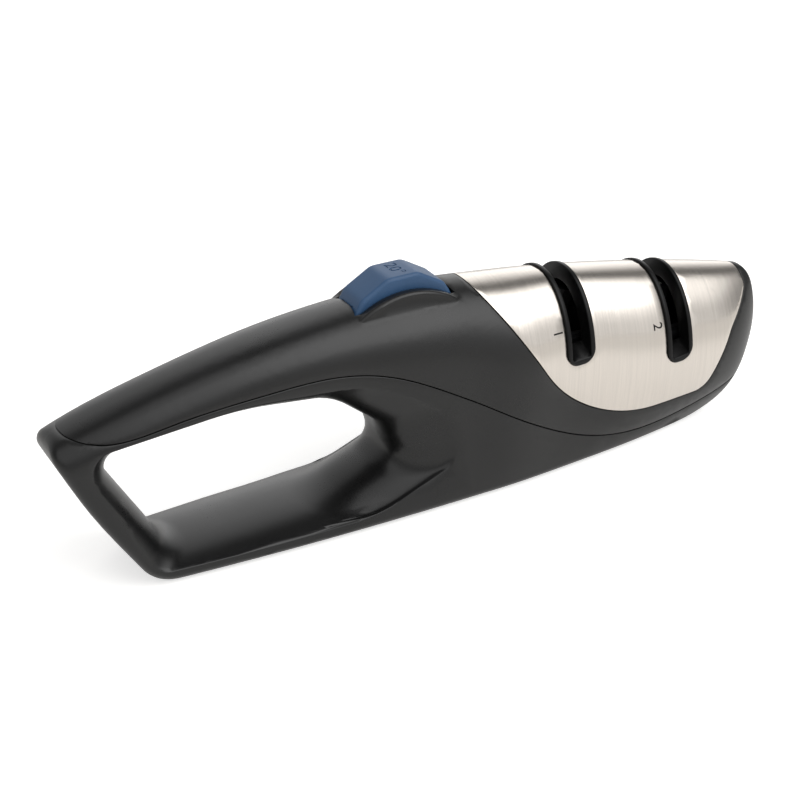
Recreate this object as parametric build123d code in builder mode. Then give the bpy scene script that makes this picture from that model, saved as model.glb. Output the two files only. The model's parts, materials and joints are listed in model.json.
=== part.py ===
"""Adjustable-angle pull-through knife sharpener, millimetres.

X runs from the tail of the handle to the nose, Z is up, and the blade is drawn along Y.
The dial turns a pinion, the pinion slides the cam bar, and the cam bar swings the
four abrasive arms about their two pivot pins.
"""

import os
from math import acos, atan2, cos, degrees, pi, radians, sin, tan

from build123d import *

os.makedirs("parts", exist_ok=True)

# casing
body_length = 240.0
body_width = 38.0
crown_height = 67.6
tail_drop = 19.6
nose_drop = 20.3
crown_x = -8.0
wall = 2.5
seam_gap = 0.3
pad_proud = 0.5
fit_gap = 0.15
tail_round = 3.0

# handle loop, at the middle plane
loop_floor = 7.0
loop_roof = 45.2
loop_rear_x = -87.8
loop_front_x = -15.2
loop_lean = 29.5

# steel cover and knife slots
steel_thick = 0.8
border_gap = 0.25
slot_pitch = 38.0
coarse_x = 43.5
fine_x = coarse_x + slot_pitch
slot_width = 7.0
rim_width = 1.7
rim_proud = 0.6
guide_depth = 5.0
coarse_slot_floor = 37.2
fine_slot_floor = 28.9
ramp_angle = 27.0

# dial and its gear
dial_x = -11.5
dial_z = 55.4
dial_radius = 18.7
dial_width = 12.0
dial_gap = 0.6
facet_count = 12
facet_round = 9.0
dial_round = 1.2
preset_step = 2.0
preset_first = 14.0
preset_count = 6
rest_angle = 20.0
gear_module = 0.8
gear_teeth = 12
gear_backlash = 0.5
gear_width = 2.4
axle_radius = 2.0
run_gap = 0.05
cheek_radius = 27.0
cheek_top = 70.0
cheek_half = 9.5
cheek_round = 1.2
detent_radius = 6.0
detent_width = 2.4
detent_notch = 0.9
detent_inner_y = 6.4
spring_x = 2.5
spring_z = 47.6
spring_y = 7.4
spring_seat = 5.0
spring_thick = 0.4
spring_screw_radius = 0.6

# abrasive stages
apex_depth = 18.6
pivot_drop = 5.0
pivot_radius = 1.5
boss_radius = 3.0
seat_step = 0.2
tail_reach = {"coarse": 9.0, "fine": 6.2}
tail_fall = 7.0
drive_radius = 1.25
slot_play = 0.3
stone_length = 12.0
stone_thick = 2.2
stone_inner_y = 0.6
stone_outer_y = 6.2
rod_radius = 2.2
arm_thick = 3.6

# sliding bar and frame, measured out from the middle plane
bar_inner_y = 6.8
bar_thick = 2.0
frame_inner_y = 9.4
frame_thick = 1.6
frame_floor_z = 17.0
screw_radius = 1.25
head_radius = 2.3
head_height = 1.6

# rubber pads under the foot: middle along X, length
pads = {"rear_pad": (-60.0, 46.0), "front_pad": (37.0, 58.0)}
pad_width = 20.0
pad_corner = 6.0
pad_thick = 1.5

half_length = body_length / 2
half_width = body_width / 2
base_z = pad_proud
pitch_radius = gear_module * gear_teeth / 2
facet_angle = 360 / facet_count
turn_per_degree = facet_angle / preset_step
far = 2 * body_length


def top_height(x):
    """Height of the crown line of the casing at x."""
    if x < crown_x:
        return crown_height - tail_drop * ((crown_x - x) / (crown_x + half_length)) ** 1.9
    return crown_height - nose_drop * ((x - crown_x) / (half_length - crown_x)) ** 1.56


def base_half_width(x):
    """Half-width of the casing's foot at x."""
    share = abs(x) / half_length
    if x < 0:
        return half_width * (1 - 0.36 * share**2.3)
    return half_width * (1 - 0.79 * share**2.08)


# stations of the casing: place along the half length, shoulder width share, arch rise share
stations = [
    (-1.06, 0.50, 0.20),
    (-0.93, 0.61, 0.21),
    (-0.77, 0.67, 0.215),
    (-0.58, 0.715, 0.22),
    (-0.40, 0.77, 0.23),
    (-0.25, 0.83, 0.26),
    (-0.08, 0.915, 0.31),
    (0.08, 0.98, 0.37),
    (0.29, 1.00, 0.44),
    (0.50, 0.995, 0.485),
    (0.71, 0.958, 0.515),
    (0.83, 0.89, 0.51),
    (0.917, 0.76, 0.48),
    (0.975, 0.55, 0.42),
    (1.03, 0.27, 0.35),
]


def section(place, shoulder_share, rise_share, inset):
    """Points over one cross-section, from the near foot over the crown to the far foot."""
    x = place * half_length
    rise = rise_share * top_height(x)
    shoulder_z = top_height(x) - rise
    shoulder = half_width * shoulder_share - inset
    foot = max(base_half_width(x) - inset, 1.0)
    fullness = 2.0 + 0.4 * min(max((0.1 - place) / 0.5, 0), 1)
    low = base_z + inset
    side = []
    for share in (0, 0.33, 0.67):
        swell = 1 - (1 - share) ** 2 if shoulder > foot else share
        side.append((foot + (shoulder - foot) * swell, low + (shoulder_z - low) * share))
    for step in range(5):
        turn = radians(18 * step)
        side.append(
            (
                shoulder * cos(turn) ** (2 / fullness),
                shoulder_z + (rise - inset) * sin(turn) ** (2 / fullness),
            )
        )
    crown = (0, top_height(x) - inset)
    return [(-y, z) for y, z in side] + [crown] + side[::-1]


def drawn_in(point, facing, inset):
    """A point moved in by inset, against the way its surface faces in the XZ plane."""
    turn = radians(facing)
    return (point[0] - inset * cos(turn), point[1] - inset * sin(turn))


def long_arch(inset):
    """The casing's cross-sections lofted from end to end, drawn in by inset."""
    with BuildPart() as arch:
        for place, shoulder_share, rise_share in stations:
            with BuildSketch(Plane.YZ.offset(place * half_length)):
                with BuildLine():
                    points = section(place, shoulder_share, rise_share, inset)
                    Spline(*points)
                    Line(points[-1], points[0])
                make_face()
        loft()
    return arch.part


def hull(inset):
    """The casing's outer body with its tail and nose, drawn in by inset all round."""
    nose_x = half_length
    tail_x = -half_length
    keel = drawn_in((nose_x - 40, base_z), -90, inset)
    nose_tip = drawn_in((nose_x, 42), 0, inset)
    nose_top = drawn_in((nose_x - 5, top_height(nose_x - 5) + 0.2), 78, inset)
    tail_top = drawn_in((tail_x + 9, top_height(tail_x + 9) + 0.6), 99, inset)
    tail_tip = drawn_in((tail_x + 1.5, 42.5), 204, inset)
    heel = drawn_in((tail_x + 21.2, base_z + 5.7), 212, inset)
    foot = drawn_in((tail_x + 32, base_z), -90, inset)
    end_to_end = long_arch(inset)
    with BuildPart() as body:
        add(end_to_end)
        with BuildSketch(Plane.XZ):
            with BuildLine():
                Line(foot, keel)
                Spline(
                    keel,
                    drawn_in((nose_x - 22, base_z + 1.5), -77, inset),
                    drawn_in((nose_x - 12.2, base_z + 7.5), -45, inset),
                    drawn_in((nose_x - 4.2, base_z + 22.5), -20, inset),
                    nose_tip,
                    tangents=((1, 0), (0, 1)),
                )
                Spline(
                    nose_tip,
                    drawn_in((nose_x - 1.2, 46.2), 32, inset),
                    nose_top,
                    tangents=((0, 1), (-1, 0.22)),
                )
                Polyline(
                    nose_top,
                    (nose_x - 25, nose_top[1] + 6),
                    (nose_x - 25, far),
                    (tail_top[0], far),
                    tail_top,
                )
                Spline(
                    tail_top,
                    drawn_in((tail_x + 2.0, 48.4), 140, inset),
                    tail_tip,
                    tangents=((-1, -0.15), (0.41, -0.91)),
                )
                Spline(
                    tail_tip,
                    drawn_in((tail_x + 8.8, base_z + 26.5), 208, inset),
                    heel,
                    tangents=((0.41, -0.91), (0.53, -0.85)),
                )
                Spline(heel, foot, tangents=((0.53, -0.85), (1, 0)))
            make_face()
        extrude(amount=half_width * 2, both=True, mode=Mode.INTERSECT)
    return body.part


def grown_corners(corners, grow):
    """Corners of an outline after each of its sides moves out by its own amount."""
    lines = []
    for (start, end), out in zip(zip(corners, corners[1:] + corners[:1]), grow):
        along = (Vector(*end) - Vector(*start)).normalized()
        outward = Vector(along.Y, -along.X)
        lines.append((Vector(*start) + outward * out, along))
    moved = []
    for (point_a, along_a), (point_b, along_b) in zip(lines[-1:] + lines[:-1], lines):
        cross = along_a.X * along_b.Y - along_a.Y * along_b.X
        between = point_b - point_a
        moved.append(point_a + along_a * ((between.X * along_b.Y - between.Y * along_b.X) / cross))
    return moved


def rounded_outline(corners, radii):
    """Closed outline of straight sides with each corner rounded; used inside BuildLine."""
    tangent_points = []
    for index, corner in enumerate(corners):
        back = (corners[index - 1] - corner).normalized()
        on = (corners[(index + 1) % len(corners)] - corner).normalized()
        half = acos(back.dot(on)) / 2
        reach = radii[index] / tan(half)
        bisector = (back + on).normalized()
        middle = corner + bisector * (radii[index] / sin(half) - radii[index])
        tangent_points.append((corner + back * reach, middle, corner + on * reach))
    for index, (start, middle, end) in enumerate(tangent_points):
        ThreePointArc(start, middle, end)
        Line(end, tangent_points[(index + 1) % len(corners)][0])


loop_corners = [
    (loop_rear_x, loop_floor),
    (loop_front_x - 24.0, loop_floor + 1.2),
    (loop_front_x - 1.3, loop_floor + 10.2),
    (loop_front_x - 4.8, loop_floor + 21.5),
    (loop_front_x - 21.3, loop_roof - 3.4),
    (loop_front_x - 50.8, loop_roof),
    (loop_rear_x - (loop_roof - 3.2 - loop_floor) * tan(radians(loop_lean)), loop_roof - 3.2),
]
loop_radii = [9.0, 40.0, 7.0, 10.0, 24.0, 100.0, 6.0]
loop_reach = half_width + 0.5


def loop_cut(grow):
    """The finger opening, flaring out to both sides, grown by the same amount all round."""
    with BuildPart() as cut:
        for share in (-1, -0.85, -0.68, -0.45, 0, 0.45, 0.68, 0.85, 1):
            out = abs(share) * loop_reach
            flare = [
                3.0 * (out / 17) ** 2.2,
                9 * (out / 18.5) ** 2.5,
                21 * (out / 18.5) ** 4.5,
                13 * (out / 17) ** 4,
                4.6 * (out / 13.5) ** 2.5,
                4.6 * (out / 13.5) ** 2.5,
                6.5 * (out / 13.5) ** 2.5,
            ]
            corners = grown_corners(loop_corners, [side + grow for side in flare])
            with BuildSketch(Plane.XZ.offset(-share * loop_reach)):
                with BuildLine():
                    rounded_outline(corners, [radius + grow for radius in loop_radii])
                make_face()
        loft()
    return cut.part


seam_points = [
    (-half_length - 8, 52.4),
    (-half_length + 4, 49.9),
    (-half_length + 13, 47.7),
    (-85, 49.4),
    (-58, 51.9),
    (-40, 52.4),
    (-24, 49.6),
    (-2, 39.0),
    (25, 22.4),
    (45, 11.8),
    (64, 7.0),
    (84, 7.2),
    (half_length - 12, 13.0),
    (half_length + 8, 22.0),
]


def seam_height(x):
    """Height of the seam at x, between its points."""
    for (x_low, z_low), (x_high, z_high) in zip(seam_points, seam_points[1:]):
        if x_low <= x <= x_high:
            return z_low + (z_high - z_low) * (x - x_low) / (x_high - x_low)


def seam_side(above):
    """Everything above or below the casing seam, less half the seam gap."""
    shift = seam_gap / 2 if above else -seam_gap / 2
    edge = far if above else -far
    with BuildPart() as side:
        with BuildSketch(Plane.XZ):
            with BuildLine():
                points = [(x, z + shift) for x, z in seam_points]
                Spline(*points)
                Polyline(points[-1], (points[-1][0], edge), (points[0][0], edge), points[0])
            make_face()
        extrude(amount=half_width * 2, both=True)
    return side.part


def slot_solid(x, floor, half, corner):
    """A tall slot shape with a rounded foot, running right through along Y."""
    with BuildPart() as slot:
        with BuildSketch(Plane.XZ):
            with BuildLine():
                sides = ((x - half, floor), (x + half, floor), (x + half, far), (x - half, far))
                rounded_outline([Vector(*point) for point in sides], [corner, corner, 1.0, 1.0])
            make_face()
        extrude(amount=far, both=True)
    return slot.part


# shared bodies
hull_sharp = hull(0)
with BuildPart() as rounded_body:
    add(hull_sharp)
    tail_edges = rounded_body.edges().filter_by(Axis.Y, reverse=True)
    fillet(tail_edges.filter_by_position(Axis.X, -half_length - 1, -half_length + 31), radius=tail_round)
hull_outer = rounded_body.part
hull_proud = hull(-rim_proud)
hull_steel = hull(steel_thick)
hull_inner = hull(wall)
hull_guide = long_arch(guide_depth)
loop_open = loop_cut(0)
loop_wall = loop_cut(wall)
upper_side = seam_side(True)
lower_side = seam_side(False)

with BuildPart() as cavity:
    add(hull_inner)
    with BuildSketch(Plane.XZ):
        with BuildLine():
            Polyline(
                (-half_length + 30, far),
                (-half_length + 30, loop_roof),
                (loop_front_x - 20, loop_roof),
                (loop_front_x - 20, -far),
                (far, -far),
                (far, far),
                close=True,
            )
        make_face()
    extrude(amount=far, both=True, mode=Mode.INTERSECT)
    add(loop_wall, mode=Mode.SUBTRACT)


def steel_region(grow):
    """The area of the steel cover seen from the side, grown by a gap all round."""
    border = [
        (dial_x + dial_radius, 72),
        (dial_x + dial_radius + 38.8, 14.6),
        (half_length - 25.5, 14.6),
        (half_length - 15.5, 34.0),
        (half_length - 5.5, 44.0),
        (half_length - 5.5, 72),
    ]
    radii = (1.0, 53.0, 7.0, 12.0, 3.0, 1.0)
    with BuildPart() as region:
        with BuildSketch(Plane.XZ):
            with BuildLine():
                corners = grown_corners(border, [grow] * len(border))
                rounded_outline(corners, radii)
            make_face()
        extrude(amount=far, both=True)
    return region.part


slots = [("coarse", coarse_x, coarse_slot_floor), ("fine", fine_x, fine_slot_floor)]
guide_half = slot_width / 2 + rim_width
rim_corner = guide_half - 0.6
channel_corner = 1.2

with BuildPart() as slot_windows:
    for name, slot_x, floor in slots:
        add(slot_solid(slot_x, floor - fit_gap, guide_half + fit_gap, rim_corner + fit_gap))

with BuildPart() as steel_bed:
    add(hull_proud)
    add(hull_steel, mode=Mode.SUBTRACT)
    add(steel_region(border_gap), mode=Mode.INTERSECT)

# screw places: two under the grip, one under the nose, four under the frame
casing_screw_places = [
    (-80.0, loop_roof - 0.8),
    (-50.0, loop_roof - 0.8),
    (half_length - 18, base_z + 4.2),
]
frame_screw_places = [(x, y) for x in (30.0, 92.0) for y in (-5.5, 5.5)]
boss_wall = 2.4
boss_outer = screw_radius + boss_wall
thread_depth = 7.0

with BuildPart() as lower_casing:
    add(hull_outer)
    add(loop_open, mode=Mode.SUBTRACT)
    add(cavity.part, mode=Mode.SUBTRACT)
    add(lower_side, mode=Mode.INTERSECT)
    for screw_x, seat_z in casing_screw_places:
        top = seam_height(screw_x) - seam_gap / 2
        with BuildSketch(Plane.XY.offset(seat_z + head_height)):
            with Locations((screw_x, 0)):
                Circle(boss_outer + 0.8)
        extrude(amount=top - seat_z - head_height)
        with BuildSketch(Plane.XY.offset(top)):
            with Locations((screw_x, 0)):
                Circle(screw_radius + fit_gap)
        extrude(amount=seat_z - 12 - top, mode=Mode.SUBTRACT)
        with BuildSketch(Plane.XY.offset(seat_z + head_height)):
            with Locations((screw_x, 0)):
                Circle(head_radius + fit_gap)
        extrude(amount=-12, mode=Mode.SUBTRACT)
    with BuildSketch(Plane.XY.offset(base_z + wall / 2)):
        with Locations(*frame_screw_places):
            Circle(boss_outer)
    extrude(amount=frame_floor_z - base_z - wall / 2)
    with BuildSketch(Plane.XY.offset(frame_floor_z)):
        with Locations(*frame_screw_places):
            Circle(screw_radius)
    extrude(amount=-thread_depth, mode=Mode.SUBTRACT)
    for pad_x, pad_length in pads.values():
        with BuildSketch(Plane.XY):
            with Locations((pad_x, 0)):
                RectangleRounded(pad_length + 2 * fit_gap, pad_width + 2 * fit_gap, pad_corner)
        extrude(amount=pad_thick, mode=Mode.SUBTRACT)
lower_casing.part.label = "lower_casing"
export_step(lower_casing.part, "parts/lower_casing.step")

with BuildPart() as cheek_block:
    with BuildSketch(Plane.XZ):
        with Locations((dial_x, cheek_top - cheek_radius)):
            Circle(cheek_radius)
            Rectangle(
                4 * cheek_radius,
                2 * cheek_radius,
                align=(Align.CENTER, Align.MAX),
                mode=Mode.SUBTRACT,
            )
    extrude(amount=cheek_half, both=True)
    fillet(cheek_block.edges().filter_by(GeomType.CIRCLE), radius=cheek_round)

with BuildPart() as upper_casing:
    add(hull_outer)
    add(cheek_block.part)
    add(loop_open, mode=Mode.SUBTRACT)
    add(cavity.part, mode=Mode.SUBTRACT)
    add(upper_side, mode=Mode.INTERSECT)
    for screw_x, seat_z in casing_screw_places:
        low = seam_height(screw_x) + seam_gap / 2
        with BuildSketch(Plane.XY.offset(low)):
            with Locations((screw_x, 0)):
                Circle(boss_outer)
        extrude(amount=top_height(screw_x) - wall / 2 - low)
        with BuildSketch(Plane.XY.offset(low)):
            with Locations((screw_x, 0)):
                Circle(screw_radius)
        extrude(amount=min(thread_depth, top_height(screw_x) - wall - low), mode=Mode.SUBTRACT)
    add(steel_bed.part, mode=Mode.SUBTRACT)
    add(slot_windows.part, mode=Mode.SUBTRACT)
    with BuildSketch(Plane.XZ):
        with Locations((dial_x, dial_z)):
            Circle(dial_radius + dial_gap)
    extrude(amount=dial_width / 2 + dial_gap, both=True, mode=Mode.SUBTRACT)
upper_casing.part.label = "upper_casing"
export_step(upper_casing.part, "parts/upper_casing.step")

with BuildPart() as steel_cover:
    add(hull_outer)
    add(hull_steel, mode=Mode.SUBTRACT)
    add(steel_region(0), mode=Mode.INTERSECT)
    add(slot_windows.part, mode=Mode.SUBTRACT)
steel_cover.part.label = "steel_cover"
export_step(steel_cover.part, "parts/steel_cover.step")

for name, slot_x, floor in slots:
    with BuildPart() as channel:
        add(slot_solid(slot_x, floor + rim_width, slot_width / 2, channel_corner))
        with BuildSketch(Plane.YZ.offset(slot_x)):
            with BuildLine():
                mouth = half_width + 6
                inner = half_width - guide_depth - 3
                ramp_z = floor + rim_width
                rise = (mouth - inner) * tan(radians(ramp_angle))
                sill = ramp_z - 6 * tan(radians(ramp_angle))
                Polyline(
                    (-mouth, sill),
                    (-inner, sill + rise),
                    (inner, sill + rise),
                    (mouth, sill),
                    (mouth, far),
                    (-mouth, far),
                    close=True,
                )
            make_face()
        extrude(amount=slot_width, both=True, mode=Mode.INTERSECT)

    with BuildPart() as slot_guide:
        add(slot_solid(slot_x, floor, guide_half, rim_corner))
        add(hull_proud, mode=Mode.INTERSECT)
        add(hull_guide, mode=Mode.SUBTRACT)
        add(channel.part, mode=Mode.SUBTRACT)
    slot_guide.part.label = name + "_slot_guide"
    export_step(slot_guide.part, "parts/" + name + "_slot_guide.step")

# dial and what turns with it
with BuildPart() as angle_dial:
    with BuildSketch(Plane.XZ):
        with Locations((dial_x, dial_z)):
            RegularPolygon(
                dial_radius, facet_count, major_radius=False, rotation=facet_angle / 2
            )
    extrude(amount=dial_width / 2, both=True)
    facet_edges = angle_dial.edges().filter_by(Axis.Y)
    fillet(facet_edges, radius=facet_round)
    rim_edges = angle_dial.faces().filter_by(Axis.Y).edges()
    fillet(rim_edges, radius=dial_round)
    with BuildSketch(Plane.XZ):
        with Locations((dial_x, dial_z)):
            Circle(axle_radius + run_gap)
    extrude(amount=dial_width, both=True, mode=Mode.SUBTRACT)
angle_dial.part.label = "angle_dial"
export_step(angle_dial.part, "parts/angle_dial.step")


def involute(angle):
    """Involute function of an angle in radians."""
    return tan(angle) - angle


pressure = radians(20)
tooth_tip = 0.75 * gear_module
tooth_root = 1.2 * gear_module
tooth_half = (pi * gear_module - gear_backlash) / 4
tooth_points = []
for tooth in range(gear_teeth):
    middle = 2 * pi * tooth / gear_teeth
    flank = []
    for share in (0, 0.3, 0.65, 1):
        radius = pitch_radius - tooth_root + share * (tooth_root + tooth_tip)
        slope = acos(min(pitch_radius * cos(pressure) / radius, 1))
        flank.append((radius, tooth_half / pitch_radius + involute(pressure) - involute(slope)))
    for radius, half in flank:
        tooth_points.append((dial_x + radius * cos(middle - half), dial_z + radius * sin(middle - half)))
    for radius, half in flank[::-1]:
        tooth_points.append((dial_x + radius * cos(middle + half), dial_z + radius * sin(middle + half)))

gear_inner_y = bar_inner_y - 0.2
with BuildPart() as dial_pinion:
    with BuildSketch(Plane.XZ.offset(-gear_inner_y)):
        with BuildLine():
            Polyline(*tooth_points, close=True)
        make_face()
    extrude(amount=-gear_width)
    with BuildSketch(Plane.XZ.offset(-dial_width / 2)):
        with Locations((dial_x, dial_z)):
            Circle(pitch_radius - tooth_root)
    extrude(amount=dial_width / 2 - gear_inner_y)
    with BuildSketch(Plane.XZ):
        with Locations((dial_x, dial_z)):
            Circle(axle_radius + run_gap)
    extrude(amount=-dial_width, mode=Mode.SUBTRACT)
dial_pinion.part.label = "dial_pinion"
export_step(dial_pinion.part, "parts/dial_pinion.step")

with BuildPart() as detent_wheel:
    with BuildSketch(Plane.XZ.offset(dial_width / 2)):
        with Locations((dial_x, dial_z)):
            Circle(detent_radius)
            with PolarLocations(detent_radius, facet_count, start_angle=-90):
                Circle(detent_notch, mode=Mode.SUBTRACT)
            Circle(axle_radius + run_gap, mode=Mode.SUBTRACT)
    extrude(amount=detent_width)
detent_wheel.part.label = "detent_wheel"
export_step(detent_wheel.part, "parts/detent_wheel.step")

# frame and what is fixed to it
frame_outer_y = frame_inner_y + frame_thick
stages = [("coarse", coarse_x), ("fine", fine_x)]
pivot_z = {name: top_height(x) - apex_depth - pivot_drop for name, x in stages}
knife_gap = 1.4
stage_top = {name: pivot_z[name] + pivot_drop - knife_gap for name, x in stages}

with BuildPart() as inner_frame:
    for wall_y in (-frame_inner_y, frame_outer_y):
        with BuildSketch(Plane.XZ.offset(-wall_y)):
            with BuildLine():
                Polyline(
                    (dial_x - 4, dial_z + 3.4),
                    (dial_x + 4, dial_z + 3.4),
                    (dial_x + 18, stage_top["coarse"] + 3),
                    (coarse_x - 10, stage_top["coarse"]),
                    (coarse_x + 15, stage_top["coarse"]),
                    (fine_x - 7, stage_top["fine"]),
                    (fine_x + 18, stage_top["fine"]),
                    (fine_x + 18, frame_floor_z),
                    (coarse_x - 20, frame_floor_z),
                    (dial_x + 21, stage_top["coarse"] - 12),
                    (dial_x, dial_z - 10),
                    (dial_x - 4, dial_z - 5),
                    close=True,
                )
            make_face()
        extrude(amount=frame_thick)
    with BuildSketch(Plane.XY.offset(frame_floor_z)):
        with BuildLine():
            Polyline(
                (coarse_x - 20, -frame_inner_y - 0.5),
                (fine_x + 18, -frame_inner_y - 0.5),
                (fine_x + 18, frame_inner_y + 0.5),
                (coarse_x - 20, frame_inner_y + 0.5),
                close=True,
            )
        make_face()
        with Locations(*frame_screw_places):
            Circle(screw_radius + fit_gap, mode=Mode.SUBTRACT)
    extrude(amount=frame_thick)
    with BuildSketch(Plane.XZ.offset(detent_inner_y)):
        with Locations((spring_x, spring_z)):
            Rectangle(spring_seat, frame_thick, align=(Align.CENTER, Align.MAX))
    extrude(amount=frame_inner_y + frame_thick / 2 - detent_inner_y)
    with BuildSketch(Plane.XY.offset(spring_z)):
        with Locations((spring_x, -spring_y)):
            Circle(spring_screw_radius)
    extrude(amount=-frame_thick, mode=Mode.SUBTRACT)
    with BuildSketch(Plane.XZ):
        with Locations((dial_x, dial_z)):
            Circle(axle_radius)
        for name, stage_x in stages:
            with Locations((stage_x, pivot_z[name])):
                Circle(pivot_radius)
    extrude(amount=far, both=True, mode=Mode.SUBTRACT)
inner_frame.part.label = "inner_frame"
export_step(inner_frame.part, "parts/inner_frame.step")


def cross_pin(x, z, radius, near_y, far_y):
    """A plain pin along Y between two places."""
    with BuildPart() as pin:
        with BuildSketch(Plane.XZ.offset(-far_y)):
            with Locations((x, z)):
                Circle(radius)
        extrude(amount=far_y - near_y)
        chamfer(pin.edges(), length=0.3)
    return pin.part


dial_axle = cross_pin(dial_x, dial_z, axle_radius, -frame_outer_y, frame_outer_y)
dial_axle.label = "dial_axle"
export_step(dial_axle, "parts/dial_axle.step")

for name, stage_x in stages:
    pivot_pin = cross_pin(stage_x, pivot_z[name], pivot_radius, -frame_outer_y, frame_outer_y)
    pivot_pin.label = name + "_pivot_pin"
    export_step(pivot_pin, "parts/" + name + "_pivot_pin.step")

with BuildPart() as detent_spring:
    with BuildSketch(Plane.XZ.offset(detent_inner_y)):
        with BuildLine():
            nub_z = dial_z - detent_radius + detent_notch - 0.25
            reach = detent_notch - 0.3
            Polyline(
                (spring_x + spring_seat / 2, spring_z),
                (spring_x + spring_seat / 2, spring_z + spring_thick),
                (dial_x + 2 * reach, spring_z + spring_thick),
                (dial_x + reach / 2, nub_z),
                (dial_x - reach / 2, nub_z),
                (dial_x - 2 * reach, spring_z + spring_thick),
                (dial_x - 2 * reach, spring_z),
                close=True,
            )
        make_face()
    extrude(amount=2 * (spring_y - detent_inner_y))
    with BuildSketch(Plane.XY.offset(spring_z)):
        with Locations((spring_x, -spring_y)):
            Circle(spring_screw_radius)
    extrude(amount=spring_thick, mode=Mode.SUBTRACT)
detent_spring.part.label = "detent_spring"
export_step(detent_spring.part, "parts/detent_spring.step")

with BuildPart() as spring_screw:
    with BuildSketch(Plane.XY.offset(spring_z - frame_thick)):
        with Locations((spring_x, -spring_y)):
            Circle(spring_screw_radius)
    extrude(amount=frame_thick + spring_thick)
    with BuildSketch(Plane.XY.offset(spring_z + spring_thick)):
        with Locations((spring_x, -spring_y)):
            Circle(spring_screw_radius * 1.6)
    extrude(amount=spring_screw_radius)
spring_screw.part.label = "spring_screw"
export_step(spring_screw.part, "parts/spring_screw.step")

# sliding cam bar: a rack beside the dial and a plate down each side of the arms
lift = {name: tail_reach[name] / turn_per_degree for name, x in stages}
sway = tail_fall / turn_per_degree
turn_low = radians((preset_first - rest_angle) * turn_per_degree)
turn_high = turn_low + radians((preset_count - 1) * facet_angle)
bar_rise = pitch_radius * -turn_low
bar_fall = pitch_radius * turn_high
pitch_line = dial_z - pitch_radius
rack_root = pitch_line - tooth_root
tooth_pitch = pi * gear_module
bridge_x = dial_x + dial_radius + dial_gap + bar_fall + 2.0
bridge_width = 5.0
bar_top = {name: stage_top[name] - 0.2 for name, x in stages}
bar_low = {name: pivot_z[name] - tail_fall - drive_radius - slot_play - 2.6 for name, x in stages}

with BuildPart() as slide_bar:
    for side, rear_x in ((-1, bridge_x), (1, bridge_x - 2)):
        start = bar_inner_y if side < 0 else -bar_inner_y - bar_thick
        with BuildSketch(Plane.XZ.offset(start)):
            with BuildLine():
                Polyline(
                    (rear_x, bar_top["coarse"] + 2),
                    (bridge_x + bridge_width, bar_top["coarse"] + 2),
                    (coarse_x - 10, bar_top["coarse"]),
                    (coarse_x + 14, bar_top["coarse"]),
                    (fine_x - 8, bar_top["fine"]),
                    (fine_x + tail_reach["fine"] + bar_fall + 4, bar_top["fine"]),
                    (fine_x + tail_reach["fine"] + bar_fall + 4, bar_low["fine"]),
                    (coarse_x + 16, bar_low["fine"]),
                    (coarse_x + 9, bar_low["coarse"]),
                    (coarse_x - tail_reach["coarse"] - bar_rise - 4, bar_low["coarse"]),
                    (rear_x, bar_top["coarse"] - 8),
                    close=True,
                )
            make_face()
        extrude(amount=bar_thick)
        with BuildSketch(Plane.XZ.offset(start)):
            for name, stage_x in stages:
                with Locations((stage_x + (bar_fall - bar_rise) / 2, pivot_z[name])):
                    SlotCenterToCenter(bar_rise + bar_fall, 2 * (pivot_radius + slot_play))
                run = pitch_radius - side * sway
                climb = degrees(atan2(lift[name], run))
                middle = (turn_low + turn_high) / 2
                with Locations(
                    (
                        stage_x - side * tail_reach[name] + run * middle,
                        pivot_z[name] - tail_fall + lift[name] * middle,
                    )
                ):
                    SlotCenterToCenter(
                        (turn_high - turn_low) * (run**2 + lift[name] ** 2) ** 0.5,
                        2 * (drive_radius + slot_play),
                        rotation=climb,
                    )
        extrude(amount=bar_thick, mode=Mode.SUBTRACT)
    with BuildSketch(Plane.XZ.offset(-bar_inner_y - bar_thick)):
        with BuildLine():
            Polyline(
                (dial_x - bar_rise - 2 * tooth_pitch, rack_root - 4),
                (dial_x + bar_fall + 2 * tooth_pitch, rack_root - 4),
                (bridge_x, bar_top["coarse"] - 5),
                (bridge_x, bar_top["coarse"] + 2),
                (dial_x + bar_fall + 2 * tooth_pitch, rack_root),
                (dial_x - bar_rise - 2 * tooth_pitch, rack_root),
                close=True,
            )
        make_face()
        first = -round(bar_rise / tooth_pitch) - 2
        last = round(bar_fall / tooth_pitch) + 2
        for tooth in range(first, last):
            middle = dial_x + (tooth + 0.5) * tooth_pitch
            root_half = tooth_half + tooth_root * tan(pressure)
            tip_half = tooth_half - tooth_tip * tan(pressure)
            with BuildLine():
                Polyline(
                    (middle - root_half, rack_root - 0.2),
                    (middle + root_half, rack_root - 0.2),
                    (middle + tip_half, pitch_line + tooth_tip),
                    (middle - tip_half, pitch_line + tooth_tip),
                    close=True,
                )
            make_face()
    extrude(amount=bar_thick)
    with BuildSketch(Plane.YZ.offset(bridge_x)):
        with Locations((0, bar_top["coarse"] + 2)):
            Rectangle(2 * bar_inner_y + bar_thick, 8, align=(Align.CENTER, Align.MAX))
    extrude(amount=bridge_width)
slide_bar.part.label = "slide_bar"
export_step(slide_bar.part, "parts/slide_bar.step")

# abrasive arms: the rear one leans towards the handle, the front one towards the nose,
# and each has its tail on the other side of the pivot, so that it is nearly in balance
lean = radians(rest_angle)
face_offset = pivot_drop * sin(lean)
stone_start = boss_radius + seat_step
stone_width = stone_outer_y - stone_inner_y
lip = 1.4


def tilted_box(origin, side, along_low, along_high, across_low, across_high):
    """Corners of a box leaning with an arm, along its face and across it."""
    corners = []
    for along, across in (
        (along_low, across_low),
        (along_high, across_low),
        (along_high, across_high),
        (along_low, across_high),
    ):
        corners.append(
            (
                origin[0] + side * (along * sin(lean) - across * cos(lean)),
                origin[1] + along * cos(lean) + across * sin(lean),
            )
        )
    return corners


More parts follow.
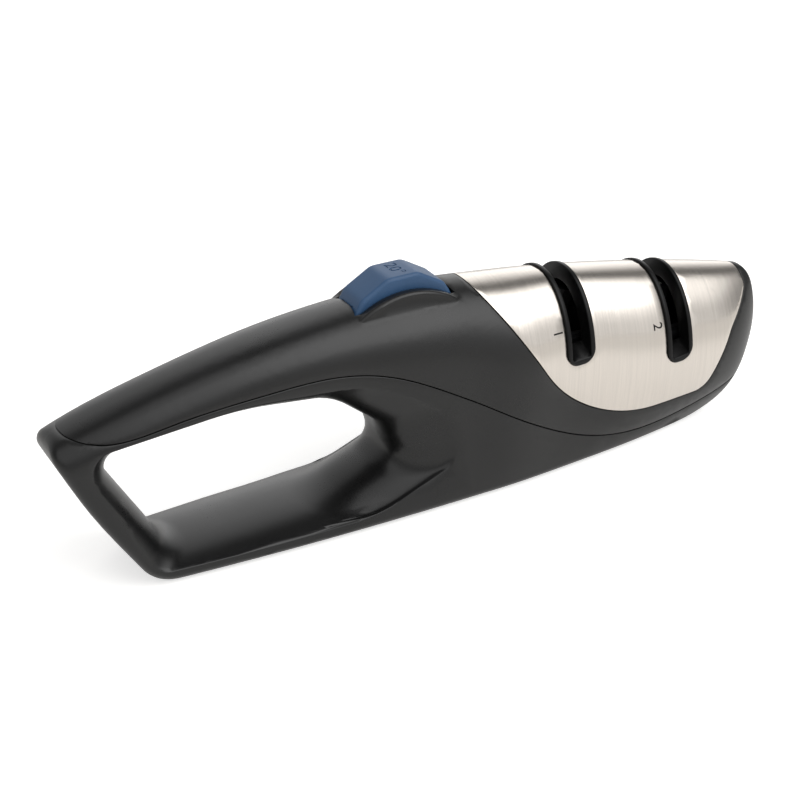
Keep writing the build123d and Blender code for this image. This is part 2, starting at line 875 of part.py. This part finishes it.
for name, stage_x in stages:
    for side, place in ((-1, "rear"), (1, "front")):
        pivot = (stage_x, pivot_z[name])
        tail = (stage_x - side * tail_reach[name], pivot_z[name] - tail_fall)
        start = stone_inner_y if side < 0 else -stone_outer_y
        back = face_offset - (stone_thick if name == "coarse" else rod_radius)
        rod_y = side * (stone_inner_y + stone_outer_y) / 2
        rod_base = (
            stage_x + side * (stone_start * sin(lean) - back * cos(lean)),
            pivot_z[name] + stone_start * cos(lean) + back * sin(lean),
        )

        with BuildPart() as arm:
            with BuildSketch(Plane.XZ.offset(start)):
                with Locations(pivot):
                    Circle(boss_radius)
                with Locations(tail):
                    Circle(drive_radius + 1.3)
                make_hull()
            extrude(amount=stone_width)
            with BuildSketch(Plane.XZ.offset(start)):
                with BuildLine():
                    top = stone_start + stone_length
                    Polyline(*tilted_box(pivot, side, 0, top, back - arm_thick, back), close=True)
                make_face()
                with BuildLine():
                    Polyline(
                        *tilted_box(pivot, side, 0, stone_start, back - lip, face_offset - 0.8),
                        close=True,
                    )
                make_face()
            extrude(amount=stone_width)
            with BuildSketch(Plane.XZ):
                with Locations(pivot):
                    Circle(pivot_radius + run_gap)
                with Locations(tail):
                    Circle(drive_radius)
            extrude(amount=far, both=True, mode=Mode.SUBTRACT)
            if name == "fine":
                rod_plane = Plane(
                    origin=(rod_base[0], rod_y, rod_base[1]),
                    z_dir=(side * sin(lean), 0, cos(lean)),
                )
                with BuildSketch(rod_plane):
                    Circle(rod_radius)
                extrude(amount=2 * stone_length, mode=Mode.SUBTRACT)
        arm.part.label = name + "_arm_" + place
        export_step(arm.part, "parts/" + arm.part.label + ".step")

        with BuildPart() as stone:
            if name == "fine":
                with BuildSketch(rod_plane):
                    Circle(rod_radius)
                extrude(amount=stone_length)
                chamfer(stone.edges().filter_by(GeomType.CIRCLE), length=0.4)
            else:
                with BuildSketch(Plane.XZ.offset(start)):
                    with BuildLine():
                        Polyline(
                            *tilted_box(
                                pivot, side, stone_start, stone_start + stone_length, back, face_offset
                            ),
                            close=True,
                        )
                    make_face()
                extrude(amount=stone_width)
        stone.part.label = name + ("_rod_" if name == "fine" else "_stone_") + place
        export_step(stone.part, "parts/" + stone.part.label + ".step")

        inner_y = stone_inner_y + 1.5
        outer_y = bar_inner_y + bar_thick - 0.1
        near_y, far_y = (-outer_y, -inner_y) if side < 0 else (inner_y, outer_y)
        drive_pin = cross_pin(tail[0], tail[1], drive_radius, near_y, far_y)
        drive_pin.label = name + "_drive_pin_" + place
        export_step(drive_pin, "parts/" + drive_pin.label + ".step")

for name, (pad_x, pad_length) in pads.items():
    with BuildPart() as pad:
        with BuildSketch(Plane.XY):
            with Locations((pad_x, 0)):
                RectangleRounded(pad_length, pad_width, pad_corner)
        extrude(amount=pad_thick)
        fillet(pad.edges().group_by(Axis.Z)[0], radius=0.3)
    pad.part.label = name
    export_step(pad.part, "parts/" + name + ".step")


def screw(x, y, seat_z, up, length):
    """A pan-head screw whose head seats at seat_z; up is 1 where its shank points up."""
    with BuildPart() as fastener:
        with BuildSketch(Plane.XY.offset(seat_z)):
            with Locations((x, y)):
                Circle(head_radius)
        extrude(amount=-up * head_height)
        with BuildSketch(Plane.XY.offset(seat_z)):
            with Locations((x, y)):
                Circle(screw_radius)
        extrude(amount=up * length)
        with BuildSketch(Plane.XY.offset(seat_z - up * head_height)):
            with Locations((x, y)):
                Rectangle(1.6 * head_radius, 0.5)
                Rectangle(0.5, 1.6 * head_radius)
        extrude(amount=up * head_height / 2, mode=Mode.SUBTRACT)
    return fastener.part


with BuildPart() as casing_screws:
    for screw_x, seat_z in casing_screw_places:
        seat = seat_z + head_height
        room = min(thread_depth, top_height(screw_x) - wall - seam_height(screw_x)) - 1.0
        add(screw(screw_x, 0, seat, 1, seam_height(screw_x) - seat + room))
casing_screws.part.label = "casing_screws"
export_step(casing_screws.part, "parts/casing_screws.step")

with BuildPart() as frame_screws:
    for screw_x, screw_y in frame_screw_places:
        add(screw(screw_x, screw_y, frame_floor_z + frame_thick, -1, frame_thick + thread_depth - 1))
frame_screws.part.label = "frame_screws"
export_step(frame_screws.part, "parts/frame_screws.step")
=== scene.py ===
import json
import math

import bmesh
import bpy
from mathutils import Matrix, Vector
from mathutils.bvhtree import BVHTree


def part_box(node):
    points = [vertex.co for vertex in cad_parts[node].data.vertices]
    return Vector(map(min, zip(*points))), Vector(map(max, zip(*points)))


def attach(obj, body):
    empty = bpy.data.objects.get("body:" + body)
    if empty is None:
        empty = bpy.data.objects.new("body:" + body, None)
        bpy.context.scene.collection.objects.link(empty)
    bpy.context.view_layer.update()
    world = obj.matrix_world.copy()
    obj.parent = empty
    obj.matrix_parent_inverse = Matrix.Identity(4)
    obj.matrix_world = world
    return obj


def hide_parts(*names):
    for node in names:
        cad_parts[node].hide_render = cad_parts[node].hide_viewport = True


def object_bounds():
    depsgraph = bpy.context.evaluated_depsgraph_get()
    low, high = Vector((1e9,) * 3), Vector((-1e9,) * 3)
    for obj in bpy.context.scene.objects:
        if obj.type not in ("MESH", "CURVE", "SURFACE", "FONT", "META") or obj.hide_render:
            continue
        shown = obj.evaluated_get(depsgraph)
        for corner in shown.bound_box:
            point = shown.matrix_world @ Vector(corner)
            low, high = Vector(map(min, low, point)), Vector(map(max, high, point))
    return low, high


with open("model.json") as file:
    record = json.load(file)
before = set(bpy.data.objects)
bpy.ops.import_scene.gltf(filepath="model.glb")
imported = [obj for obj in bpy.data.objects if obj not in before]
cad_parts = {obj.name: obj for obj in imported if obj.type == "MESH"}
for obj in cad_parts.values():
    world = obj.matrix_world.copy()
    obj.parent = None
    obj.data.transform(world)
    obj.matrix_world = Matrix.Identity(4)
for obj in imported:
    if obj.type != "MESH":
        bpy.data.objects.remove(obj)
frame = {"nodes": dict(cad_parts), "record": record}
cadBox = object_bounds()
nodes = frame["nodes"]
mm = 0.001
print("frame loaded,", len(nodes), "nodes")


# a socket that can be used in sums: each operator adds its Math node
class Wire:
    def __init__(self, tree, socket):
        self.tree = tree
        self.socket = socket

    def calc(self, operation, first, second):
        node = self.tree.nodes.new("ShaderNodeMath")
        node.operation = operation
        plug(self.tree, node.inputs[0], first)
        plug(self.tree, node.inputs[1], second)
        return Wire(self.tree, node.outputs[0])

    def __add__(self, other):
        return self.calc("ADD", self, other)

    def __radd__(self, other):
        return self.calc("ADD", other, self)

    def __sub__(self, other):
        return self.calc("SUBTRACT", self, other)

    def __rsub__(self, other):
        return self.calc("SUBTRACT", other, self)

    def __mul__(self, other):
        return self.calc("MULTIPLY", self, other)

    def __rmul__(self, other):
        return self.calc("MULTIPLY", other, self)


def plug(tree, socket, value):
    if isinstance(value, Wire):
        tree.links.new(value.socket, socket)
    else:
        socket.default_value = value


# one node tree being wired up, of a material or of the world
class Wiring:
    def __init__(self, owner):
        owner.use_nodes = True
        self.tree = owner.node_tree
        self.tree.nodes.clear()

    # any node: its type, its settings first, then its sockets; gives the output asked for
    def node(self, kind, settings=None, sockets=None, output=0):
        node = self.tree.nodes.new("ShaderNode" + kind)
        for name, value in (settings or {}).items():
            setattr(node, name, value)
        for name, value in (sockets or {}).items():
            plug(self.tree, node.inputs[name], value)
        return Wire(self.tree, node.outputs[output]) if node.outputs else None

    # noise on the piece's own coordinates, in grains per metre along each axis
    def grain(self, perMetre, detail=3.0, roughness=0.55):
        place = self.node("TexCoord", output="Object")
        scale = perMetre if isinstance(perMetre, tuple) else (perMetre,) * 3
        spread = self.node("Mapping", {}, {"Vector": place, "Scale": scale})
        sockets = {"Vector": spread, "Scale": 1.0, "Detail": detail, "Roughness": roughness}
        return self.node("TexNoise", {}, sockets, "Fac")

    def ramp(self, value, low, high):
        sockets = {"Value": value, "From Min": low, "From Max": high}
        return self.node("MapRange", {"interpolation_type": "SMOOTHSTEP"}, sockets)

    # sockets 6 and 7 and output 2 are the colours of a Mix node
    def mixColour(self, share, first, second):
        node = self.tree.nodes.new("ShaderNodeMix")
        node.data_type = "RGBA"
        plug(self.tree, node.inputs["Factor"], share)
        plug(self.tree, node.inputs[6], first)
        plug(self.tree, node.inputs[7], second)
        return Wire(self.tree, node.outputs[2])

    def bump(self, height, strength, depth):
        sockets = {"Height": height, "Strength": strength, "Distance": depth}
        return self.node("Bump", {}, sockets, "Normal")

    def surface(self, sockets):
        shader = self.node("BsdfPrincipled", {}, sockets)
        self.node("OutputMaterial", {}, {"Surface": shader})


def newFinish(name):
    material = bpy.data.materials.new(name)
    return material, Wiring(material)


noiseMiddle = 0.5
paleRange = (0.3, 0.7)  # the part of a noise that runs from the dark to the pale tone

# moulded plastic: spark-eroded grain, patchy sheen, a little paler where the grain stands up
mouldMarks = {
    "patches": 45, "scuffs": (900, 120, 900), "scuffFrom": 0.60, "scuffTo": 0.75, "patchShare": 0.6,
    "patchSheen": 0.12, "skinSheen": 0.10, "scuffSheen": 0.04, "relief": 0.35,
}


def mouldedPlastic(name, spec):
    material, wiring = newFinish(name)
    skin = wiring.grain(1 / spec["grain"], 2.0)
    patches = wiring.grain(mouldMarks["patches"], 3.0)
    scratches = wiring.grain(mouldMarks["scuffs"], 4.0)
    scuffs = wiring.ramp(scratches, mouldMarks["scuffFrom"], mouldMarks["scuffTo"])
    blotches = patches * mouldMarks["patchShare"] + skin * (1 - mouldMarks["patchShare"])
    share = wiring.ramp(blotches, *paleRange)
    uneven = (patches - noiseMiddle) * mouldMarks["patchSheen"]
    wiring.surface({
        "Base Color": wiring.mixColour(share, (*spec["dark"], 1), (*spec["pale"], 1)),
        "Roughness": spec["sheen"] + uneven + (skin - noiseMiddle) * mouldMarks["skinSheen"]
        + scuffs * mouldMarks["scuffSheen"],
        "Specular IOR Level": spec["gloss"],
        "Normal": wiring.bump(skin, mouldMarks["relief"], spec["depth"]),
    })
    return material


# brushed sheet: streaks run round the arch, so they are narrow along X and long across it
def brushedSteel(name, spec):
    material, wiring = newFinish(name)
    fine = wiring.grain(spec["fine"], 4.0, 0.6)
    broad = wiring.grain(spec["broad"], 3.0, 0.5)
    streaks = fine * spec["fineShare"] + broad * (1 - spec["fineShare"])
    share = wiring.ramp(streaks, *paleRange)
    wiring.surface({
        "Base Color": wiring.mixColour(share, (*spec["dark"], 1), (*spec["pale"], 1)),
        "Metallic": 1.0,
        "Roughness": spec["sheen"] + (streaks - noiseMiddle) * spec["streakSheen"],
        "Normal": wiring.bump(streaks, spec["relief"], spec["depth"]),
    })
    return material


# small turned or pressed metal pieces
metalMarks = {"marks": (2500, 600, 2500), "patches": 250, "paler": 1.15, "markSheen": 0.2,
              "relief": 0.15, "depth": 0.01 * mm}


def plainMetal(name, spec):
    material, wiring = newFinish(name)
    marks = wiring.grain(metalMarks["marks"], 3.0)
    patches = wiring.grain(metalMarks["patches"], 2.0)
    pale = tuple(part * metalMarks["paler"] for part in spec["tone"])
    wiring.surface({
        "Base Color": wiring.mixColour(patches, (*spec["tone"], 1), (*pale, 1)),
        "Metallic": 1.0,
        "Roughness": spec["sheen"] + (marks - noiseMiddle) * metalMarks["markSheen"],
        "Normal": wiring.bump(marks, metalMarks["relief"], metalMarks["depth"]),
    })
    return material


# abrasive: grains that stand out of their bed and catch the light
gritMarks = {"grainFrom": 0.05, "grainTo": 0.55, "grainSheen": 0.15, "relief": 0.6, "depth": 0.04 * mm}


def abrasive(name, spec):
    material, wiring = newFinish(name)
    place = wiring.node("TexCoord", output="Object")
    sockets = {"Vector": place, "Scale": 1 / spec["size"], "Randomness": 1.0}
    cells = wiring.node("TexVoronoi", {"feature": "F1"}, sockets, "Distance")
    bumps = 1 - wiring.ramp(cells, gritMarks["grainFrom"], gritMarks["grainTo"])
    wiring.surface({
        "Base Color": wiring.mixColour(bumps, (*spec["bed"], 1), (*spec["grit"], 1)),
        "Metallic": spec["metallic"],
        "Roughness": spec["sheen"] + bumps * gritMarks["grainSheen"],
        "Normal": wiring.bump(bumps, gritMarks["relief"], gritMarks["depth"]),
    })
    return material


plastics = {
    "black_plastic": {"dark": (0.004, 0.004, 0.0041), "pale": (0.006, 0.006, 0.0061), "sheen": 0.30,
                      "gloss": 0.5, "grain": 0.35 * mm, "depth": 0.006 * mm},
    "slot_plastic": {"dark": (0.003, 0.003, 0.0031), "pale": (0.0045, 0.0045, 0.0046), "sheen": 0.32,
                     "gloss": 0.22, "grain": 0.35 * mm, "depth": 0.006 * mm},
    "blue_plastic": {"dark": (0.034, 0.084, 0.175), "pale": (0.042, 0.099, 0.203), "sheen": 0.42,
                     "gloss": 0.38, "grain": 0.30 * mm, "depth": 0.012 * mm},
    "gear_plastic": {"dark": (0.010, 0.010, 0.0105), "pale": (0.015, 0.015, 0.0155), "sheen": 0.45,
                     "gloss": 0.5, "grain": 0.40 * mm, "depth": 0.008 * mm},
    "arm_plastic": {"dark": (0.010, 0.010, 0.0105), "pale": (0.015, 0.015, 0.0155), "sheen": 0.42,
                    "gloss": 0.4, "grain": 0.40 * mm, "depth": 0.010 * mm},
    "pad_rubber": {"dark": (0.018, 0.018, 0.018), "pale": (0.028, 0.028, 0.027), "sheen": 0.75,
                   "gloss": 0.3, "grain": 0.50 * mm, "depth": 0.020 * mm},
}
metals = {
    "plated_steel": {"tone": (0.05, 0.05, 0.052), "sheen": 0.45},
    "pin_steel": {"tone": (0.06, 0.06, 0.063), "sheen": 0.35},
    "screw_steel": {"tone": (0.45, 0.45, 0.46), "sheen": 0.30},
}
coverSteel = {
    "dark": (0.70, 0.65, 0.595), "pale": (0.78, 0.725, 0.665), "sheen": 0.19,
    "fine": (6000, 50, 50), "broad": (1600, 18, 18), "fineShare": 0.6, "streakSheen": 0.14,
    "relief": 0.12, "depth": 0.008 * mm,
}
grits = {
    "diamond_plate": {"bed": (0.16, 0.16, 0.165), "grit": (0.42, 0.42, 0.43), "size": 0.16 * mm,
                      "metallic": 1.0, "sheen": 0.45},
    "ceramic": {"bed": (0.70, 0.69, 0.65), "grit": (0.80, 0.79, 0.76), "size": 0.20 * mm,
                "metallic": 0.0, "sheen": 0.50},
}
finishes = {"brushed_steel": brushedSteel("brushed_steel", coverSteel)}
for name, spec in plastics.items():
    finishes[name] = mouldedPlastic(name, spec)
for name, spec in metals.items():
    finishes[name] = plainMetal(name, spec)
for name, spec in grits.items():
    finishes[name] = abrasive(name, spec)
slotOf = {entry["node"]: entry["material_slot"] for entry in frame["record"]["subparts"]}
for nodeName, node in nodes.items():
    node.data.materials.clear()
    node.data.materials.append(finishes[slotOf[nodeName]])
print("finishes made,", len(finishes))


cornerFrom = math.radians(38)  # a steeper edge is shaded as a corner
mergeWithin = 0.002 * mm


# a finished mesh becomes a piece that rides on a body and takes its finish from a slot
def makePiece(name, mesh, body, slot, sharpFrom=cornerFrom):
    data = bpy.data.meshes.new(name)
    mesh.to_mesh(data)
    mesh.free()
    data.shade_smooth()
    data.set_sharp_from_angle(angle=sharpFrom)
    piece = bpy.data.objects.new(name, data)
    bpy.context.scene.collection.objects.link(piece)
    data.materials.append(finishes[slot])
    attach(piece, body)
    return piece


def mergedCopy(nodeName):
    mesh = bmesh.new()
    mesh.from_mesh(nodes[nodeName].data)
    bmesh.ops.remove_doubles(mesh, verts=mesh.verts, dist=mergeWithin)
    return mesh


# the crease where the loop's flare runs out on the bar is eased, on the near and far side
def easeCrease(mesh, crease):
    along, height = crease["along"], crease["height"]
    chosen = []
    for vertex in mesh.verts:
        x, y, z = vertex.co
        if along[0] < x < along[1] and abs(y) > crease["out"] and height[0] < z < height[1]:
            chosen.append(vertex)
    for _ in range(crease["rounds"]):
        bmesh.ops.smooth_vert(
            mesh, verts=chosen, factor=crease["strength"],
            use_axis_x=False, use_axis_y=True, use_axis_z=True,
        )


tailTip = -109 * mm  # behind this the casings are round already, and no edge is broken


# a node's own mesh with its outer edges broken stands for the node
def brokenEdges(nodeName, spec):
    mesh = mergedCopy(nodeName)
    solidTree = BVHTree.FromBMesh(mesh)
    sharp = []
    for edge in mesh.edges:
        outer = edge.is_manifold and edge.is_convex and edge.verts[0].co.x >= tailTip
        if outer and edge.calc_face_angle() > spec["corner"]:
            sharp.append(edge)
    bmesh.ops.bevel(
        mesh, geom=sharp, offset=spec["round"], offset_type="OFFSET", affect="EDGES",
        segments=spec["segments"], profile=0.5, material=-1, clamp_overlap=False, loop_slide=True,
    )
    for vertex in mesh.verts:  # a corner that the bevel threw out goes back to the solid's surface
        spot, _, _, reach = solidTree.find_nearest(vertex.co)
        if reach > spec["round"]:
            vertex.co = spot
    if "crease" in spec:
        easeCrease(mesh, spec["crease"])
    piece = makePiece(spec["name"], mesh, "casing", slotOf[nodeName])
    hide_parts(nodeName)


edged = {
    "upper_casing": {"name": "upperShell", "corner": math.radians(60), "round": 0.22 * mm,
                     "segments": 2},
    "lower_casing": {"name": "lowerShell", "corner": math.radians(60), "round": 0.22 * mm,
                     "segments": 2,
                     "crease": {"along": (-66 * mm, -28 * mm), "out": 15.0 * mm, "rounds": 5,
                                "height": (2.6 * mm, 9.0 * mm), "strength": 0.5}},
    "steel_cover": {"name": "steelArch", "corner": math.radians(50), "round": 0.14 * mm,
                    "segments": 2},
    "coarse_slot_guide": {"name": "coarseRim", "corner": math.radians(40), "round": 0.4 * mm,
                          "segments": 3},
    "fine_slot_guide": {"name": "fineRim", "corner": math.radians(40), "round": 0.4 * mm,
                        "segments": 3},
}
for nodeName, spec in edged.items():
    brokenEdges(nodeName, spec)
print("edges broken,", len(edged), "pieces")


markMerge = 0.001 * mm


# digits as a solid block in a plane given by its right and up directions
def markBlock(digits, size, thick, right, up, place):
    curve = bpy.data.curves.new("mark", "FONT")
    curve.body = digits
    curve.size = size
    curve.align_x = "CENTER"
    curve.align_y = "CENTER"
    curve.extrude = thick / 2
    holder = bpy.data.objects.new("mark", curve)
    bpy.context.scene.collection.objects.link(holder)
    graph = bpy.context.evaluated_depsgraph_get()
    data = bpy.data.meshes.new_from_object(holder.evaluated_get(graph))
    bpy.data.objects.remove(holder)
    bpy.data.curves.remove(curve)
    turn = Matrix((right, up, right.cross(up))).transposed().to_4x4()
    data.transform(Matrix.Translation(place) @ turn)
    mesh = bmesh.new()
    mesh.from_mesh(data)
    bpy.data.meshes.remove(data)
    bmesh.ops.remove_doubles(mesh, verts=mesh.verts, dist=markMerge)
    return mesh


# dial with its angle numbers cut into the facets; each number's turn is from the top towards the nose
dialSpec = {
    "name": "markedDial", "size": 5.4 * mm, "depth": 0.22 * mm, "thick": 1.4 * mm,
    "facet": math.radians(30), "softRound": 9.0 * mm, "crispRound": 4.5 * mm, "hub": 12.0 * mm,
    "sharpFrom": math.radians(20),
    "numbers": {"16": 60, "20": 0, "24": -60},
}
joints = frame["record"]["behaviour"]["joints"]
dialJoint = next(joint for joint in joints if joint["name"] == "dial_turn")
dialCentre = Vector(dialJoint["pos_m"])
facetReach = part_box("angle_dial")[1][2] - dialCentre.z


# how far the dial's rim reaches at an angle from a facet's middle, for one rounding of its corners
def rimReach(angle, rounding):
    half = dialSpec["facet"] / 2
    if facetReach * math.tan(abs(angle)) <= (facetReach - rounding) * math.tan(half):
        return facetReach / math.cos(angle)
    fromCorner = half - abs(angle)
    centre = (facetReach - rounding) / math.cos(half)
    aside = centre * math.sin(fromCorner)
    return centre * math.cos(fromCorner) + math.sqrt(rounding ** 2 - aside ** 2)


# the facets meet in narrower rounds than the solid's, still inside the casing's bore
dialMesh = mergedCopy("angle_dial")
for vertex in dialMesh.verts:
    arm = Vector((vertex.co.x - dialCentre.x, 0, vertex.co.z - dialCentre.z))
    if arm.length > dialSpec["hub"]:
        turn = math.atan2(arm.x, arm.z)
        angle = turn - round(turn / dialSpec["facet"]) * dialSpec["facet"]
        stretch = rimReach(angle, dialSpec["crispRound"]) / rimReach(angle, dialSpec["softRound"])
        vertex.co += arm * (stretch - 1)

cutters = bmesh.new()
degreeSign = "\u00b0"
acrossDial = Vector((0, -1, 0))
for number, turn in dialSpec["numbers"].items():
    angle = math.radians(turn)
    outward = Vector((math.sin(angle), 0, math.cos(angle)))
    up = Vector((math.cos(angle), 0, -math.sin(angle)))
    place = dialCentre + outward * (facetReach - dialSpec["depth"] + dialSpec["thick"] / 2)
    block = markBlock(
        number + degreeSign, dialSpec["size"], dialSpec["thick"], acrossDial, up, place,
    )
    data = bpy.data.meshes.new("cutter")
    block.to_mesh(data)
    block.free()
    cutters.from_mesh(data)
    bpy.data.meshes.remove(data)


# one mesh taken away from another
def cutAway(mesh, cutterMesh):
    pair = []
    for name, part in (("blank", mesh), ("cutter", cutterMesh)):
        data = bpy.data.meshes.new(name)
        part.to_mesh(data)
        part.free()
        holder = bpy.data.objects.new(name, data)
        bpy.context.scene.collection.objects.link(holder)
        pair.append(holder)
    blank, cutter = pair
    change = blank.modifiers.new("cut", "BOOLEAN")
    change.operation = "DIFFERENCE"
    change.solver = "EXACT"
    change.object = cutter
    graph = bpy.context.evaluated_depsgraph_get()
    data = bpy.data.meshes.new_from_object(blank.evaluated_get(graph))
    result = bmesh.new()
    result.from_mesh(data)
    for holder in pair:
        bpy.data.objects.remove(holder)
    bpy.data.meshes.remove(data)
    return result


dial = makePiece(
    dialSpec["name"], cutAway(dialMesh, cutters), "dial", slotOf["angle_dial"], dialSpec["sharpFrom"],
)
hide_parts("angle_dial")
print("dial marked,", len(dial.data.polygons), "faces")

# plain stage numbers on the steel, beside the slots, reading down the arch
stageSpec = {
    "size": 5.0 * mm, "thick": 0.4 * mm, "proud": 0.06 * mm,
    "places": {"1": (35.2 * mm, 49.0 * mm), "2": (72.8 * mm, 42.4 * mm)},
}
steelTree = BVHTree.FromBMesh(mergedCopy("steel_cover"))
for number, (x, z) in stageSpec["places"].items():
    outside = Vector((x, cadBox[0][1] - mm, z))
    spot, normal, _, _ = steelTree.ray_cast(outside, Vector((0, 1, 0)))
    up = Vector((1, 0, 0))
    up = (up - normal * up.dot(normal)).normalized()
    place = spot + normal * (stageSpec["proud"] - stageSpec["thick"] / 2)
    block = markBlock(number, stageSpec["size"], stageSpec["thick"], up.cross(normal), up, place)
    makePiece("stageNumber" + number, block, "casing", "slot_plastic")
print("stage numbers placed,", len(stageSpec["places"]))


# camera at the photograph's place
cameraSpec = {
    "place": (-0.22175, -0.37963, 0.26997),
    "turn": (61.15, 0.0, -29.2),
    "lens": 74.25, "sensor": 36.0, "clip": 0.01,
}
camera = bpy.data.objects.new("camera", bpy.data.cameras.new("camera"))
camera.location = cameraSpec["place"]
camera.rotation_euler = [math.radians(angle) for angle in cameraSpec["turn"]]
camera.data.lens = cameraSpec["lens"]
camera.data.sensor_width = cameraSpec["sensor"]
camera.data.clip_start = cameraSpec["clip"]
bpy.context.scene.collection.objects.link(camera)
bpy.context.scene.camera = camera

# pale floor, white to the camera, that keeps the object's shadow
floorSpec = {"half": 4.0, "tone": (0.80, 0.79, 0.77), "glow": 0.60,
             "mirroredGlow": 0.26, "near": 0.14, "far": 0.30}
mesh = bmesh.new()
bmesh.ops.create_grid(mesh, x_segments=1, y_segments=1, size=floorSpec["half"])
floorData = bpy.data.meshes.new("floor")
mesh.to_mesh(floorData)
mesh.free()
floor = bpy.data.objects.new("floor", floorData)
bpy.context.scene.collection.objects.link(floor)
floorFinish, wiring = newFinish("floorPaper")
seen = wiring.node("LightPath", output="Is Camera Ray")
mirrored = wiring.node("LightPath", output="Is Glossy Ray")
paper = wiring.node("BsdfDiffuse", {}, {"Color": (*floorSpec["tone"], 1)})
place = wiring.node("TexCoord", output="Object")
distance = wiring.node("VectorMath", {"operation": "LENGTH"}, {0: place}, "Value")
nearby = 1 - wiring.ramp(distance, floorSpec["near"], floorSpec["far"])
# near the object the floor also glows for mirrored rays only: painted light that shows just in the
# object's reflections and fades out with distance from the object
strength = seen * floorSpec["glow"] + mirrored * nearby * floorSpec["mirroredGlow"]
glow = wiring.node("Emission", {}, {"Color": (1, 1, 1, 1), "Strength": strength})
both = wiring.node("AddShader", {}, {0: paper, 1: glow})
wiring.node("OutputMaterial", {}, {"Surface": both})
floorData.materials.append(floorFinish)

# studio room: white to the camera and through anything clear; round the object a dark ceiling, a pale
# back and a front that brightens above its horizon, both weaker at the left and far right
# each range is where a fade starts and ends
roomSpec = {
    "ceiling": 0.11, "back": 1.3, "horizon": 0.65, "front": 1.1, "left": 0.46, "farRight": 0.25,
    "mirrored": 0.06,
    "backRange": (0.22, 0.74), "frontRange": (-0.14, 0.19), "panelRange": (0.15, 0.55),
    "leftRange": (-0.10, 0.35), "rightRange": (0.70, 0.95),
}
world = bpy.context.scene.world or bpy.data.worlds.new("studio")
bpy.context.scene.world = world
wiring = Wiring(world)
cameraRay = wiring.node("LightPath", output="Is Camera Ray")
clearRay = wiring.node("LightPath", output="Is Transmission Ray")
glossyRay = wiring.node("LightPath", output="Is Glossy Ray")
facing = wiring.node("TexCoord", output="Generated")
along = wiring.node("SeparateXYZ", {}, {"Vector": facing}, "X")
across = wiring.node("SeparateXYZ", {}, {"Vector": facing}, "Y")
height = wiring.node("SeparateXYZ", {}, {"Vector": facing}, "Z")
back = wiring.ramp(across, *roomSpec["backRange"]) * roomSpec["back"]
panel = roomSpec["horizon"] + wiring.ramp(height, *roomSpec["panelRange"]) * roomSpec["front"]
front = wiring.ramp(0 - across, *roomSpec["frontRange"]) * panel
leftFade = roomSpec["left"] + wiring.ramp(along, *roomSpec["leftRange"]) * (1 - roomSpec["left"])
rightFade = 1 - wiring.ramp(along, *roomSpec["rightRange"]) * (1 - roomSpec["farRight"])
room = roomSpec["ceiling"] + (back + front) * leftFade * rightFade
unseen = 1 - cameraRay - clearRay
level = cameraRay + clearRay + unseen * room + glossyRay * roomSpec["mirrored"]
light = wiring.node("Background", {}, {"Color": (1, 1, 1, 1), "Strength": level})
wiring.node("OutputWorld", {}, {"Surface": light})

# softboxes: where, aimed at, size, power
softboxes = {
    "front": {"place": (0.45, -0.75, 0.95), "aim": (0.0, 0.0, 0.03), "size": 1.0, "power": 3.0},
}
for name, spec in softboxes.items():
    lamp = bpy.data.lights.new(name, "AREA")
    lamp.shape = "SQUARE"
    lamp.size = spec["size"]
    lamp.energy = spec["power"]
    holder = bpy.data.objects.new(name, lamp)
    holder.location = spec["place"]
    aim = Vector(spec["aim"]) - holder.location
    holder.rotation_euler = aim.to_track_quat("-Z", "Y").to_euler()
    bpy.context.scene.collection.objects.link(holder)
bpy.context.scene.view_settings.view_transform = "Standard"
print("studio set")
